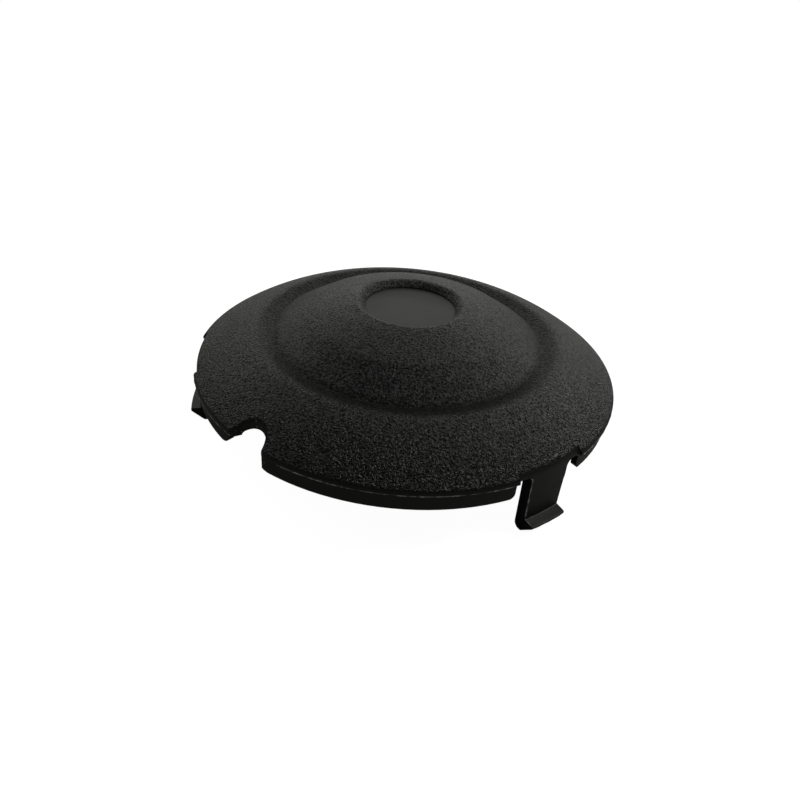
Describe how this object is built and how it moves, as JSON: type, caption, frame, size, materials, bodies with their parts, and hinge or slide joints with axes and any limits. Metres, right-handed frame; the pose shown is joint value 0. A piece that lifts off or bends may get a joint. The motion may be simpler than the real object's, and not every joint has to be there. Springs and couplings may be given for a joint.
{
  "type": "hubcap",
  "caption": "Round moulded plastic hubcap with a stepped domed face, a shallow central badge seat, a pry notch in its rim and snap tabs behind it.",
  "frame": {"origin": "on the cap's axis, level with the feet of its snap tabs", "axes": "+Z along the cap's axis, out of the wheel; the pry notch is towards -X and -Y"},
  "size_m": [0.1512, 0.1512, 0.0454],
  "materials": {
    "black_plastic": "black, moulded with a fine grain outside and smooth on the seat, skirt, tabs and inside"
  },
  "bodies": {
    "root": {"hubcap": "black_plastic"}
  },
  "joints": []
}
